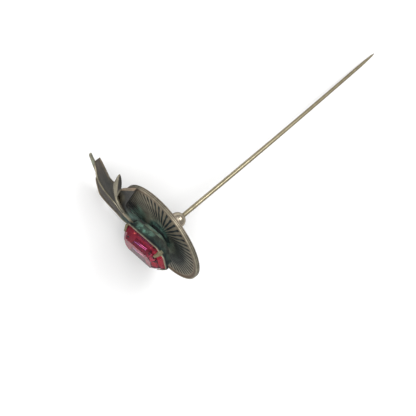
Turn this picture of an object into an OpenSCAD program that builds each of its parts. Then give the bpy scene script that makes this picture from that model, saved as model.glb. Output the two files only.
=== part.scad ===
// Stick pin with a fluted disc, a stamped leaf spray and a step-cut red stone.
// Every piece is drawn about the pin's own axis: the origin is the centre of the
// disc's lip, +Z faces forward out of the disc, +X runs along the leaf spray and the
// wire goes off along -Z. laid_down() then lays the whole pin on its side.

/* [Disc] */
// Radius of the fluted disc out to its rim
disc_r = 13.75; // [12:0.25:16]
// Height of the rim's edge
rim_t = 1.1; // [0.9:0.05:1.4]
// Thickness of the disc inside its rim
disc_t = 0.85; // [0.7:0.05:1]
// Number of flutes round the disc
flute_count = 52; // [36:1:60]
// Width of the plain margin between the flutes and the rim
margin_w = 1.1; // [0.8:0.1:2]
// Depth of a flute where it meets the hub
flute_depth = 0.42; // [0.2:0.02:0.5]
// Radius of the raised hub that carries the spray
hub_r = 2.6; // [2.2:0.1:4]
// Height of the hub over the lip
hub_h = 1.35; // [1:0.05:1.5]

/* [Pin] */
// Diameter of the wire where it leaves the ball
wire_d = 1.15; // [0.9:0.05:1.4]
// Diameter of the wire where its point begins
wire_end_d = 0.8; // [0.6:0.05:0.9]
// Length of the wire from the middle of the ball to the point
wire_len = 75.1; // [60:0.1:90]
// Length of the straight shank that keeps its full diameter
shank_len = 24; // [10:1:30]
// Length of the ground point
point_len = 7; // [4:0.5:12]
// Lean of the wire away from the disc's axis, towards the spray
wire_lean = 3.34; // [0:0.02:5]
// Diameter of the ball behind the disc
ball_d = 4.05; // [3.4:0.05:4.4]
// Distance of the ball's middle behind the lip
ball_back = 5.87; // [5.6:0.01:7]

/* [Stone] */
// Length of the stone at its girdle
stone_l = 14.1; // [12:0.1:16]
// Width of the stone at its girdle
stone_w = 8.1; // [7:0.1:10]
// Size of the stone's cut corners
stone_corner = 2; // [1.5:0.1:2.5]
// Height of the crown over the girdle
crown_h = 2.5; // [1.6:0.1:2.8]
// How far the table lies inside the girdle
table_inset = 2; // [1.6:0.05:2.6]
// Depth of the pavilion under the girdle
pavilion_h = 1.1; // [0.8:0.05:1.1]
// Height of the girdle over the disc's lip
girdle_z = 4.85; // [4.5:0.05:5.5]
// Angle of the stone's long side to the spray
stone_turn = 35; // [0:1:45]
// Place of the stone's middle along the spray
stone_x = -0.6; // [-2:0.1:2]
// Place of the stone's middle across the spray
stone_y = 0.1; // [-2:0.1:2]
// Wall of the cup that holds the stone
cup_wall = 0.4; // [0.3:0.05:0.6]
// Height of the frame round the girdle, over the narrower base
frame_h = 0.8; // [0.7:0.05:1.2]
// How far the base lies inside the frame at its ends
base_inset = 1.2; // [0.5:0.1:2]
// Length of the spray's root plate under the cup
root_l = 9.2; // [8.4:0.2:10.8]
// Width of the spray's root plate under the cup
root_w = 8; // [6.6:0.2:8.4]
// Width of a claw
claw_w = 1.5; // [0.8:0.1:1.6]

/* [Spray] */
// Thickness of the long leaves' sheet metal
leaf_t = 0.5; // [0.4:0.05:0.8]
// Thickness of the short side leaf, whose cut edge shows
side_t = 0.75; // [0.5:0.05:0.9]

/* [Resting place] */
// Turn of the pin about its own axis, until a leaf meets the surface
rest_roll = 16.52; // [0:0.05:30]
// Angle of the disc's axis to the surface
rest_pitch = 8.86; // [5:0.05:15]
// Place of the lip's centre along the pin, across it and over the surface
rest_at = [-35.861, -5.532, 13.74]; // [-100:0.001:100]

/* [Hidden] */
$fn = 64;

// Clearance round a wire in its hole, and between faces that meet
fit_gap = 0.025;
face_gap = 0.02;

hole_r = wire_d / 2 + fit_gap;
flute_start = disc_r - margin_w;
// Half width of a flute for its depth, its clearance where it runs out, and the plain
// ring round the hub
flute_spread = 1.8;
flute_clear = 0.003;
hub_margin = 0.45;
// The face rises a little from the margin to the hub
face_edge_z = -0.2;
face_hub_z = 0.15;
back_z = face_edge_z - disc_t + 0.2;

// Stack on the hub: the spray's root plate, then the cup's floor, then the rivet's head
root_z = hub_h + face_gap;
root_t = 0.9;
cup_z = root_z + root_t + face_gap;
floor_t = 0.4;
rivet_h = 0.3;
rivet_r = 1.3;

// Seat of the stone in its cup: the frame's top over the girdle, the clearance round
// the girdle, the ledge under it, and how far down the ledge is
frame_lip = 0.1;
girdle_gap = 0.06;
ledge_w = 0.3;
ledge_drop = 0.22;

// Outside of the cup: its frame, and the narrower base under it
cup_l = stone_l + 2 * (girdle_gap + cup_wall);
cup_w = stone_w + 2 * (girdle_gap + cup_wall);
base_l = cup_l - 2 * base_inset;
base_w = cup_w - cup_wall;
base_corner = stone_corner - cup_wall;

// Clearance of the leaves round the base, and of what they pass over round the hub
leaf_gap = 0.1;
under_r = 7.6;

// Knuckle where the wire bends, inside the ball
knuckle_r = wire_d / 2 + 0.06;
// Slimmer neck of the wire inside the ball: its radius where it leaves the ball and at
// the ball's middle, and how far it shows outside
neck_r = wire_d / 2 - 0.15;
neck_root_r = wire_d / 4;
neck_out = 0.12;

// Collar behind the disc: a foot, a waist and the ball
foot_r = 3.2;
foot_t = 0.5;
waist_r = 1.15;

function lerp(a, b, s) = a + (b - a) * s;

// Smooth value at place s between b and c, with a and d as their neighbours
function smooth4(a, b, c, d, s) =
    0.5 * (2 * b + (c - a) * s + (2 * a - 5 * b + 4 * c - d) * s * s
           + (3 * b - a - 3 * c + d) * s * s * s);

// Table with each gap between rows filled by n smooth steps
function smoothed(rows, n) =
    let (last = len(rows) - 1)
    [for (i = [0 : last - 1], k = [0 : n - 1])
        smooth4(rows[max(i - 1, 0)], rows[i], rows[i + 1], rows[min(i + 2, last)], k / n),
     rows[last]];

// Lays the pin on its side: the wire's point, the rim and a leaf carry it
module laid_down() {
    translate(rest_at)
        rotate([0, rest_pitch - 90, 0])
            rotate([0, 0, 90 + rest_roll])
                children();
}

// Takes the wire's own frame, with -Z along the wire, to the middle of the ball
module at_ball() {
    translate([0, 0, -ball_back])
        rotate([0, -wire_lean, 0])
            children();
}

// Rivet head in the cup, straight wire to the knuckle in the ball, and from there the
// leaning wire: its shank, a slow taper and a ground point, turned in one
module pin_stem() {
    rivet_z = cup_z + floor_t + face_gap;
    taper_z = -wire_len + point_len;
    wire_r = wire_d / 2;
    end_r = wire_end_d / 2;
    tip_r = 0.06;
    neck_z = -ball_d / 2 - neck_out;
    color("#b5ad8c")
        laid_down()
            union() {
                rotate_extrude()
                    polygon([[0, -ball_back], [wire_r, -ball_back], [wire_r, rivet_z],
                             [rivet_r, rivet_z], [rivet_r, rivet_z + rivet_h / 2],
                             [rivet_r - 0.3, rivet_z + rivet_h], [0, rivet_z + rivet_h]]);
                at_ball() {
                    sphere(r = knuckle_r);
                    rotate_extrude()
                        polygon([[0, 0], [neck_root_r, 0], [neck_r, neck_z], [wire_r, neck_z],
                                 [wire_r, -shank_len], [end_r, taper_z], [tip_r, -wire_len],
                                 [0, -wire_len]]);
                }
            }
}

// Turned collar, whose foot sits on the disc's back and whose ball holds the wire
module ball_collar() {
    foot_z = back_z - face_gap;
    waist_z = -ball_back + ball_d / 2 - 0.6;
    color("#a8968c")
        laid_down()
            difference() {
                union() {
                    rotate_extrude()
                        polygon([[hole_r, foot_z], [foot_r - 0.15, foot_z], [foot_r, foot_z - 0.15],
                                 [foot_r, foot_z - foot_t], [foot_r - 0.9, foot_z - foot_t - 0.25],
                                 [waist_r + 0.35, foot_z - foot_t - 1.1],
                                 [waist_r, foot_z - foot_t - 2.1], [waist_r, waist_z],
                                 [hole_r, waist_z]]);
                    difference() {
                        translate([0, 0, -ball_back])
                            sphere(d = ball_d);
                        translate([0, 0, -ball_back])
                            cylinder(h = ball_d, r = hole_r);
                    }
                }
                at_ball() {
                    sphere(r = knuckle_r + fit_gap);
                    translate([0, 0, -ball_d])
                        cylinder(h = ball_d, r = hole_r);
                }
            }
}

// Half outline of the disc, with a raised lip and two fine lines round its edge
module disc_outline() {
    line_w = 0.12;
    polygon([[hole_r, hub_h], [hub_r - 0.25, hub_h], [hub_r, hub_h - 0.25],
             [hub_r + 0.15, face_hub_z],
             [flute_start, face_edge_z], [disc_r - 0.7, face_edge_z - 0.02],
             [disc_r - 0.45, 0], [disc_r - 0.12, 0], [disc_r, -0.12],
             [disc_r, -0.36 + line_w], [disc_r - 0.09, -0.36], [disc_r, -0.36 - line_w],
             [disc_r, -0.74 + line_w], [disc_r - 0.09, -0.74], [disc_r, -0.74 - line_w],
             [disc_r, -rim_t + 0.12], [disc_r - 0.12, -rim_t], [disc_r - 0.9, -rim_t],
             [disc_r - 1.15, back_z], [hole_r, back_z]]);
}

// V-shaped cutter that is deepest at the hub and runs out at the margin
module flute_cutter() {
    run = flute_start - hub_r;
    top_z = face_edge_z + flute_clear;
    slope = atan((top_z - face_hub_z + flute_depth) / run);
    reach = run / cos(slope) + 1;
    v_h = 1.2;
    translate([flute_start, 0, top_z])
        rotate([0, -slope, 0])
            translate([-reach, 0, 0])
                rotate([90, 0, 90])
                    linear_extrude(reach)
                        polygon([[0, 0], [v_h * flute_spread, v_h], [-v_h * flute_spread, v_h]]);
}

module fluted_disc() {
    color("#6b6455")
        laid_down()
            difference() {
                rotate_extrude($fn = 128)
                    disc_outline();
                difference() {
                    for (i = [0 : flute_count - 1])
                        rotate([0, 0, (i + 0.5) * 360 / flute_count])
                            flute_cutter();
                    translate([0, 0, -rim_t])
                        cylinder(h = 4 * rim_t, r = hub_r + hub_margin, $fn = 128);
                }
            }
}

// Columns of a leaf's table
NEAR = 0;   // edge towards -Y
FAR = 1;    // edge towards +Y
RISE = 2;   // how far the middle stands over the line between the edges

main_leaf = [
    // near edge           far edge             rise
    [[2.8, 0.6, 2.15], [3.6, 3.8, 2.2], [0, 0, 0]],
    [[7.9, 2.7, 3.35], [8.4, 3.1, 3.30], [0.05, 0, 0]],
    [[10.0, 1.8, 3.70], [10.6, 2.2, 3.75], [0.05, 0, 0]],
    [[11.9, 0.6, 3.80], [12.8, 1.3, 3.90], [0.1, 0, 0]],
    [[13.6, -0.7, 3.70], [14.9, 1.7, 3.90], [0.15, 0, 0]],
    [[15.0, -2.3, 3.35], [16.7, 2.4, 3.80], [0.2, 0, 0]],
    [[16.1, -3.7, 2.95], [18.7, 3.1, 3.40], [0.25, 0, 0]],
    [[17.9, -2.3, 2.60], [20.4, 3.2, 3.00], [0.3, 0, 0]],
    [[19.9, -2.6, 2.30], [21.9, 1.9, 2.60], [0.25, 0, 0]],
    [[22.3, -3.4, 2.10], [23.3, 0.4, 2.20], [0.15, 0, 0]],
    [[23.3, -3.5, 2.00], [23.5, -1.2, 2.10], [0.05, 0, 0]]
];

tip_leaf = [
    [[19.2, 2.6, 2.5], [19.5, 5, 2.55], [0, 0, 0]],
    [[20.6, 3.2, 2.1], [20.8, 5.7, 2.2], [0, 0, 0]],
    [[21.9, 3.1, 1.8], [22, 4.8, 2.05], [0, 0, 0]],
    [[23.4, 2.1, 1.75], [23.6, 3.2, 2.1], [0, 0, 0]],
    [[24.6, 1.4, 1.7], [24.9, 1.9, 2.1], [0, 0, 0]],
    [[25.4, 0.8, 1.7], [25.8, 1.1, 2.05], [0, 0, 0]],
    [[25.8, 0.4, 1.75], [26, 0.4, 1.9], [0, 0, 0]]
];

outer_leaf = [
    [[2.4, 2.2, 2], [3.2, 5, 2.1], [0, 0, 0]],
    [[7.6, 2.2, 2.85], [7.9, 7.5, 2.9], [0.15, 0, 0]],
    [[10.2, 1.2, 3.25], [10.7, 8.1, 3], [0.15, 0, 0]],
    [[12.6, 0.4, 3.35], [13.7, 9.2, 3.05], [0.2, 0, 0]],
    [[15.1, 0.4, 3.25], [16.4, 9.9, 3], [0.2, 0, 0]],
    [[17, 0.8, 3.2], [17.6, 9.5, 2.95], [0.2, 0, 0]],
    [[18.8, 1.2, 2.95], [19, 7.9, 2.85], [0.15, 0, 0]],
    [[20.1, 1.6, 2.6], [20.2, 6.4, 2.7], [0.1, 0, 0]],
    [[20.7, 2.4, 2.5], [20.7, 5.1, 2.65], [0, 0, 0]]
];

side_leaf = [
    [[2.4, -2, 2.05], [4.4, 2.4, 2.2], [0, 0, 0]],
    [[5.4, -1.1, 2.6], [6.9, 2.5, 2.9], [0.1, 0, 0]],
    [[8.1, 0.6, 2.85], [9.4, 2.5, 3.2], [0.05, 0, 0]],
    [[10, 0.2, 2.85], [12, 1.4, 3.2], [-0.1, 0, 0]],
    [[10.6, -1.5, 2.65], [13.8, 0.9, 2.9], [-0.25, 0, 0]],
    [[10.9, -3.5, 2.3], [14.5, -0.7, 2.5], [-0.3, 0, 0]],
    [[11.1, -5.2, 1.95], [13.95, -3.7, 2.15], [-0.25, 0, 0]],
    [[11.3, -6.4, 1.55], [13.1, -5.6, 1.65], [-0.15, 0, 0]],
    [[11.4, -7, 1.2], [12.4, -7.1, 1.25], [-0.05, 0, 0]],
    [[11.8, -7.5, 1], [12.05, -7.4, 1.05], [0, 0, 0]]
];

spur_leaf = [
    [[4.2, 0.8, 2.15], [4.6, 2.4, 2.2], [0, 0, 0]],
    [[7.9, 1.4, 3.4], [8.3, 2.2, 3.3], [0, 0, 0]],
    [[9.9, 1, 3.75], [10.4, 1.8, 3.65], [0.05, 0, 0]],
    [[11.7, -0.2, 3.8], [12.2, 1, 3.8], [0.1, 0, 0]],
    [[13.1, -1.4, 3.6], [13.6, -0.5, 3.7], [0.1, 0, 0]],
    [[13.82, -4.6, 3.1], [15.1, -2.1, 3.4], [0.1, 0, 0]],
    [[14.52, -4.95, 2.4], [16.2, -3.7, 3], [0.1, 0, 0]],
    [[15.4, -5.8, 1.95], [16.6, -5.1, 2.5], [0.1, 0, 0]],
    [[16.2, -6.7, 1.75], [16.9, -6.3, 2], [0.05, 0, 0]],
    [[16.7, -7, 1.7], [17, -6.9, 1.75], [0, 0, 0]]
];

// Closed sheet from a leaf's table: a smooth face, and the same face lower by the
// sheet's thickness for its back
module leaf(table, thickness, steps = 3, across = 6) {
    rows = smoothed(table, steps);
    n = len(rows);
    m = across + 1;
    face = [for (r = rows, j = [0 : across])
        let (s = j / across)
        lerp(r[NEAR], r[FAR], s) + [0, 0, r[RISE][0] * 4 * s * (1 - s)]];
    back = [for (p = face) p - [0, 0, thickness]];
    b = n * m;
    grid = [for (i = [0 : n - 2], j = [0 : across - 1])
        let (k = i * m + j)
        each [[k, k + 1, k + m + 1], [k, k + m + 1, k + m],
              [b + k, b + k + m + 1, b + k + 1], [b + k, b + k + m, b + k + m + 1]]];
    sides = [for (i = [0 : n - 2], j = [0, across])
        let (k = i * m + j, up = j == 0)
        each (up ? [[k, k + m, b + k + m], [k, b + k + m, b + k]]
                 : [[k, b + k + m, k + m], [k, b + k, b + k + m]])];
    ends = [for (j = [0 : across - 1], i = [0, n - 1])
        let (k = i * m + j, up = i == 0)
        each (up ? [[k, b + k + 1, k + 1], [k, b + k, b + k + 1]]
                 : [[k, k + 1, b + k + 1], [k, b + k + 1, b + k]])];
    polyhedron(concat(face, back), concat(grid, sides, ends));
}

// Places a child on the stone's middle, turned to its long side
module at_stone(z) {
    translate([stone_x, stone_y, z])
        rotate([0, 0, stone_turn])
            children();
}

module leaf_spray() {
    color("#5d5a4e")
        laid_down()
            difference() {
                union() {
                    at_stone(root_z)
                        linear_extrude(root_t)
                            octagon(root_l, root_w, base_corner);
                    leaf(main_leaf, leaf_t);
                    leaf(tip_leaf, leaf_t);
                    leaf(outer_leaf, leaf_t);
                    leaf(side_leaf, side_t);
                    leaf(spur_leaf, leaf_t);
                }
                translate([0, 0, root_z - 1])
                    cylinder(h = root_t + 3, r = hole_r);
                at_stone(root_z + root_t)
                    linear_extrude(5)
                        octagon(base_l + 2 * leaf_gap, base_w + 2 * leaf_gap, base_corner);
                translate([0, 0, root_z - 3])
                    cylinder(h = 3, r = under_r);
            }
}

// Rectangle with cut corners, long side on X
module octagon(l, w, c) {
    polygon(octagon_points(l, w, c));
}

function octagon_points(l, w, c) =
    [[l / 2 - c, -w / 2], [l / 2, -w / 2 + c], [l / 2, w / 2 - c], [l / 2 - c, w / 2],
     [-l / 2 + c, w / 2], [-l / 2, w / 2 - c], [-l / 2, -w / 2 + c], [-l / 2 + c, -w / 2]];

// Columns of the stone's table: inset from the girdle, size of the corner, height
stone_rows = [
    [3.4, 0.5, -pavilion_h],
    [1.6, 1.3, -pavilion_h * 0.55],
    [0, stone_corner, -0.1],
    [0, stone_corner, 0.1],
    [table_inset * 0.5, lerp(stone_corner, 0.85, 0.5), crown_h * 0.6],
    [table_inset, 0.85, crown_h]
];

module cut_stone() {
    rings = [for (r = stone_rows, p = octagon_points(stone_l - 2 * r[0], stone_w - 2 * r[0], r[1]))
        [p[0], p[1], r[2]]];
    last = 8 * (len(stone_rows) - 1);
    sides = [for (k = [0 : len(stone_rows) - 2], i = [0 : 7])
        let (a = 8 * k + i, b = 8 * k + (i + 1) % 8)
        [a, a + 8, b + 8, b]];
    polyhedron(rings, concat(sides, [[for (i = [0 : 7]) i]], [[for (i = [7 : -1 : 0]) last + i]]));
}

module red_stone() {
    color("#b0253f")
        laid_down()
            at_stone(girdle_z)
                cut_stone();
}

// Claw that stands on the frame and lies along a corner facet of the crown, narrower
// at its tip; its outline has X out of the corner and Y over the girdle
module claw() {
    foot = frame_lip - frame_h;
    tip_x = -0.95;
    intersection() {
        rotate([90, 0, 0])
            translate([0, 0, -claw_w / 2])
                linear_extrude(claw_w)
                    polygon([[0.12, foot], [0.55, foot], [0.58, 0.2], [0.46, 0.5],
                             [-0.52, 1.7], [-0.8, 1.75], [-0.9, 1.46], [0.06, 0.16],
                             [0.12, 0.05]]);
        translate([0, 0, foot])
            linear_extrude(crown_h + frame_h)
                polygon([[tip_x, -0.25], [0.3, -claw_w / 2], [1, -claw_w / 2],
                         [1, claw_w / 2], [0.3, claw_w / 2], [tip_x, 0.25]]);
    }
}

// Cup in the stone's own frame, with its floor on z = 0
module cup() {
    girdle = girdle_z - cup_z;
    frame_low = girdle + frame_lip - frame_h;
    inner_l = stone_l + 2 * girdle_gap;
    inner_w = stone_w + 2 * girdle_gap;
    overlap = 0.1;
    difference() {
        union() {
            linear_extrude(frame_low + overlap)
                octagon(base_l, base_w, base_corner);
            translate([0, 0, frame_low])
                linear_extrude(frame_h)
                    octagon(cup_l, cup_w, stone_corner + cup_wall / 2);
        }
        translate([0, 0, floor_t])
            linear_extrude(girdle)
                octagon(base_l - 2 * cup_wall, base_w - 2 * cup_wall, base_corner);
        translate([0, 0, frame_low + 2 * overlap])
            linear_extrude(girdle)
                octagon(inner_l - 2 * ledge_w, inner_w - 2 * ledge_w, stone_corner);
        translate([0, 0, girdle - ledge_drop])
            linear_extrude(girdle)
                octagon(inner_l, inner_w, stone_corner);
    }
}

module stone_setting() {
    corner_x = stone_l / 2 - stone_corner / 2;
    corner_y = stone_w / 2 - stone_corner / 2;
    color("#8d8a6f")
        laid_down()
            difference() {
                union() {
                    at_stone(cup_z)
                        cup();
                    at_stone(girdle_z)
                        for (sx = [-1, 1], sy = [-1, 1])
                            translate([sx * corner_x, sy * corner_y, 0])
                                rotate([0, 0, atan2(sy, sx)])
                                    claw();
                }
                translate([0, 0, cup_z - 1])
                    cylinder(h = 3, r = hole_r);
            }
}

pin_stem();
ball_collar();
fluted_disc();
leaf_spray();
stone_setting();
red_stone();
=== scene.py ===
"""Stick pin: a fluted disc, a stamped leaf spray and a step-cut red stone on a long wire.

Every piece is drawn about the pin's own axis, in millimetres: the origin is the centre
of the disc's lip, +Z faces forward out of the disc and +X runs along the spray. It is
then laid down on its side, in metres, where the frame has it.
"""

import math

import bpy
import numpy as np
from mathutils import Matrix, Vector


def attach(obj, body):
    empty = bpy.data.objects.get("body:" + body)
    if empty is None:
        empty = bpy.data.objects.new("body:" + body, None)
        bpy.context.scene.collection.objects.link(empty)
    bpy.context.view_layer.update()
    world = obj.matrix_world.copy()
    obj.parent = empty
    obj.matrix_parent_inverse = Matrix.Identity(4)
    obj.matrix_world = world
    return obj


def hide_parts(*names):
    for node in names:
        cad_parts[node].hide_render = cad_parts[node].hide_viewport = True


bl_info = {
    "name": "Stick pin",
    "version": (1, 0, 0),
    "blender": (4, 5, 0),
    "location": "View3D > Sidebar > Stick pin",
    "description": "Builds a stick pin with a fluted disc, a leaf spray and a red stone",
    "category": "Add Mesh",
}

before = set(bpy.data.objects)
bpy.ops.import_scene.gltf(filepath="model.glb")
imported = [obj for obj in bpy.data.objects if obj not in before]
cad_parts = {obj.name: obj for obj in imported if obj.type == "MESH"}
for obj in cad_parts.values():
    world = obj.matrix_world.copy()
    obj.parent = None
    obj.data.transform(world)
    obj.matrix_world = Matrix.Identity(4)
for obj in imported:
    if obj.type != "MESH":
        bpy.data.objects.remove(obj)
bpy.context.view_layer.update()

MM = 0.001

# How the pin lies: its turn about its own axis, its tilt, and where the lip's centre is
REST_ROLL = 16.52
REST_PITCH = 8.86
REST_AT = (-35.861, -5.532, 13.74)

# The camera's place in mm, its turn in degrees, and its lens on a 36 mm sensor
CAMERA_AT = (-77.725, 58.631, 246.738)
CAMERA_TURN = (-6.22995, -19.35315, -31.49053)
CAMERA_LENS = 86.538

# Fixed details of the turned and cut pieces, in mm
HOLE_R = 0.6
FACE_EDGE_Z = -0.2
FACE_HUB_Z = 0.15
BACK_Z = -0.85
ROOT_Z = 1.37
ROOT_T = 0.9
ROOT_L = 9.2
ROOT_W = 8.0
UNDER_R = 7.6
CUP_Z = 2.29
CUP_FLOOR = 0.4
CUP_WALL = 0.4
GIRDLE_Z = 4.85
GIRDLE_GAP = 0.06
FRAME_LIP = 0.1
FRAME_H = 0.8
BASE_INSET = 1.2
HALF_GIRDLE = 0.1
STONE_CORNER = 2.0
STONE_AT = (-0.6, 0.1)
NECK_R = 1.15

# How far the middle of the wire is bowed away from the spray, in mm
WIRE_BOW = 0.22


def length(name, description, value_mm):
    """A length that the sidebar shows in the scene's unit."""
    return bpy.props.FloatProperty(
        name=name, description=description, default=value_mm * MM, unit="LENGTH", precision=5
    )


def colour(name, description, value):
    """A colour with its swatch in the sidebar."""
    return bpy.props.FloatVectorProperty(
        name=name, description=description, default=value, subtype="COLOR", min=0, max=1
    )


class PinSizes(bpy.types.PropertyGroup):
    """Sizes of the pin's pieces."""

    disc_radius: length("Disc radius", "Radius of the fluted disc out to its rim", 13.75)
    rim_height: length("Rim height", "Height of the disc's edge", 1.1)
    margin_width: length("Margin", "Plain ring between the flutes and the rim", 1.1)
    hub_radius: length("Hub radius", "Radius of the hub that carries the spray", 2.6)
    hub_height: length("Hub height", "Height of the hub over the lip", 1.35)
    flute_depth: length("Flute depth", "Depth of a flute where it meets the hub", 0.42)
    flute_count: bpy.props.IntProperty(
        name="Flutes", description="Number of flutes round the disc", default=52, min=12, max=90
    )
    wire_diameter: length("Wire", "Diameter of the wire at the ball", 1.15)
    wire_end: length("Wire end", "Diameter of the wire where its point begins", 0.86)
    wire_length: length("Wire length", "From the middle of the ball to the point", 75.1)
    shank_length: length("Shank", "Length of the shank of even diameter", 24.0)
    point_length: length("Point", "Length of the ground point", 5.0)
    wire_lean: bpy.props.FloatProperty(
        name="Lean", description="Lean of the wire from the disc's axis",
        default=math.radians(3.34), subtype="ANGLE", unit="ROTATION"
    )
    ball_diameter: length("Ball", "Diameter of the ball behind the disc", 4.05)
    ball_back: length("Ball place", "Distance of the ball's middle behind the lip", 5.87)
    stone_length: length("Stone length", "Length of the stone at its girdle", 14.1)
    stone_width: length("Stone width", "Width of the stone at its girdle", 8.1)
    crown_height: length("Crown", "Height of the crown over the girdle", 2.5)
    table_inset: length("Table inset", "How far the table lies inside the girdle", 2.0)
    pavilion_depth: length("Pavilion", "Depth of the stone under its girdle", 1.1)
    stone_turn: bpy.props.FloatProperty(
        name="Stone turn", description="Angle of the stone's long side to the spray",
        default=math.radians(35), subtype="ANGLE", unit="ROTATION"
    )
    claw_width: length("Claw width", "Width of a claw at its foot", 1.5)
    leaf_thickness: length("Leaf", "Thickness of the long leaves", 0.5)
    side_leaf_thickness: length("Side leaf", "Thickness of the short side leaf", 0.75)


class PinColours(bpy.types.PropertyGroup):
    """Colours of the pin's metals and its stone."""

    wire: colour("Wire", "Pale brass of the wire", (0.42, 0.37, 0.25))
    ball: colour("Ball", "Rosy tarnished brass of the collar", (0.46, 0.4, 0.32))
    lands: colour("Disc", "Brown patina on the disc's lands", (0.062, 0.056, 0.044))
    # The grooves' colour also paints shade: the shadow under the spray, the ring round the hub and the face
    # away from its bright side
    grooves: colour("Grooves", "Blue-black of the disc's grooves", (0.008, 0.011, 0.016))
    leaves: colour("Leaves", "Dark grey patina of the leaves", (0.019, 0.0205, 0.0225))
    shade: colour("Leaf shade", "Blue-black in the leaves' hollows", (0.009, 0.012, 0.017))
    # The warm tarnish also tints painted light and shade: the disc's bright side and the spur's shaded face
    brown: colour("Brown tarnish", "Warm tarnish along margins and folds", (0.16, 0.105, 0.07))
    # The worn colour also paints light: the lifted shade on the side leaf by the spur and the spur's lit
    # face
    worn: colour("Worn edge", "Bare metal where edges have rubbed bright", (0.4, 0.36, 0.26))
    verdigris: colour("Verdigris", "Green copper salts in the corners", (0.2, 0.42, 0.33))
    wire_shade: colour("Wire shade", "Tarnish in the wire's hollows", (0.12, 0.1, 0.06))
    ball_shade: colour("Ball shade", "Tarnish in the collar's hollows", (0.11, 0.075, 0.06))
    # Also paints the disc's highlight on one side and the light that lifts the shade by the hub and the
    # spray
    disc_worn_and_lit: colour("Worn disc", "Bare metal on the disc's rubbed side", (0.52, 0.47, 0.35))
    # Also paints the light on the spur's lit face
    rubbed_and_lit_leaf: colour("Rubbed leaf", "Pale patina of the spur and the tip", (0.2, 0.185, 0.15))
    side_leaf: colour("Side leaf", "Grey patina of the side leaf", (0.05, 0.053, 0.057))
    side_warm: colour("Side leaf's border", "Warm tarnish along the side leaf", (0.26, 0.17, 0.12))
    cup: colour("Cup", "Dark patina of the stone's cup", (0.036, 0.038, 0.033))
    claw: colour("Claws", "Brown patina of the claws", (0.1, 0.08, 0.045))
    claw_shade: colour("Claw shade", "Dark inside the claws", (0.012, 0.011, 0.008))
    claw_worn: colour("Worn claw", "Bare metal on the claws' backs", (0.3, 0.245, 0.15))
    # Painted light and shade in the stone: the one red glass gets a lit tone at the table and the ends and
    # darker tones on the steps, over a dark foil and a bright end foil
    stone: colour("Table", "Pink of the stone through its table", (0.62, 0.2, 0.27))
    step: colour("Step", "Crimson of the stone's lower step", (0.44, 0.1, 0.21))
    deep: colour("Upper step", "Maroon of the step by the table", (0.32, 0.055, 0.15))
    end: colour("End facets", "Bright red of the stone's end", (0.86, 0.22, 0.32))
    foil: colour("Foil", "Red foil behind the stone", (0.24, 0.012, 0.055))
    end_foil: colour("End foil", "Scarlet foil behind the stone's ends", (0.52, 0.025, 0.06))
    # The glints are painted highlights: small pieces inside the stone that glow
    violet_glint: colour("Violet glint", "Light caught by the foil", (0.45, 0.5, 1.0))
    orange_glint: colour("Orange glint", "Warm light caught by the foil", (1.0, 0.45, 0.2))
    rose_glint: colour("Rose glint", "Pink light caught by the foil", (1.0, 0.55, 0.95))
    floor: colour("Floor", "Pale floor", (0.97, 0.97, 0.97))


def sizes():
    """The sidebar's sizes."""
    return bpy.context.scene.stick_pin_sizes


def colours():
    """The sidebar's colours."""
    return bpy.context.scene.stick_pin_colours


def mm(value):
    """A length property in millimetres."""
    return value / MM


# Places and turns


def turning(axis, degrees):
    """Rotation about X, Y or Z as a 3 by 3 array."""
    return np.array(Matrix.Rotation(math.radians(degrees), 3, axis))


def columns(*values):
    """Values side by side in one array, where a single number fills its column."""
    return np.stack(np.broadcast_arrays(*values), axis=1)


def lay_down(points):
    """Points about the pin's own axis, in mm, to the pin as it lies, in metres."""
    turn = turning("Y", REST_PITCH - 90) @ turning("Z", 90 + REST_ROLL)
    return (np.asarray(points, float) @ turn.T + REST_AT) * MM


def at_ball(points):
    """Points of the wire's own frame, with -Z along it, to the pin's axis."""
    s = sizes()
    lean = turning("Y", -math.degrees(s.wire_lean))
    return np.asarray(points, float) @ lean.T - (0, 0, mm(s.ball_back))


def at_stone(points, height):
    """Points of the stone's own frame to the pin's axis, over a height."""
    turn = turning("Z", math.degrees(sizes().stone_turn))
    return np.asarray(points, float) @ turn.T + (*STONE_AT, height)


# Mesh building


def add_object(name, data):
    """A new object in the scene."""
    made = bpy.data.objects.new(name, data)
    bpy.context.scene.collection.objects.link(made)
    return made


def make_piece(name, points, faces, materials, nodes, masks=None, sharp=32, face_material=None):
    """A mesh piece that rides on the pin and stands for its CAD nodes. The sharp angle is
    in degrees, and 0 leaves every facet flat."""
    mesh = bpy.data.meshes.new(name)
    mesh.from_pydata(lay_down(points).tolist(), [], faces)
    for material in materials:
        mesh.materials.append(material)
    for mask, values in (masks or {}).items():
        values = np.asarray(values, np.float32)
        kind, key = ("FLOAT_VECTOR", "vector") if values.ndim == 2 else ("FLOAT", "value")
        mesh.attributes.new(mask, kind, "POINT").data.foreach_set(key, values.ravel())
    if face_material is not None:
        mesh.polygons.foreach_set("material_index", np.asarray(face_material, np.int32))
    mesh.polygons.foreach_set("use_smooth", [sharp > 0] * len(mesh.polygons))
    if sharp:
        mesh.set_sharp_from_angle(angle=math.radians(sharp))
    mesh.validate()
    mesh.update()
    piece = add_object(name, mesh)
    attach(piece, "root")
    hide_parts(*nodes)
    return piece


def loft_faces(rows, around):
    """Quads between closed rings of points, with a cap at either end."""
    faces = []
    for i in range(rows - 1):
        for j in range(around):
            k = (j + 1) % around
            faces.append((i * around + j, i * around + k, (i + 1) * around + k, (i + 1) * around + j))
    faces.append(tuple(range(around - 1, -1, -1)))
    faces.append(tuple((rows - 1) * around + j for j in range(around)))
    return faces


def rounded_corner(start, corner, end, steps):
    """Points of a short arc from start to end that bends round the corner."""
    shares = [k / steps for k in range(steps + 1)]
    return [(1 - v) ** 2 * start + 2 * v * (1 - v) * corner + v * v * end for v in shares]


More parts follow.
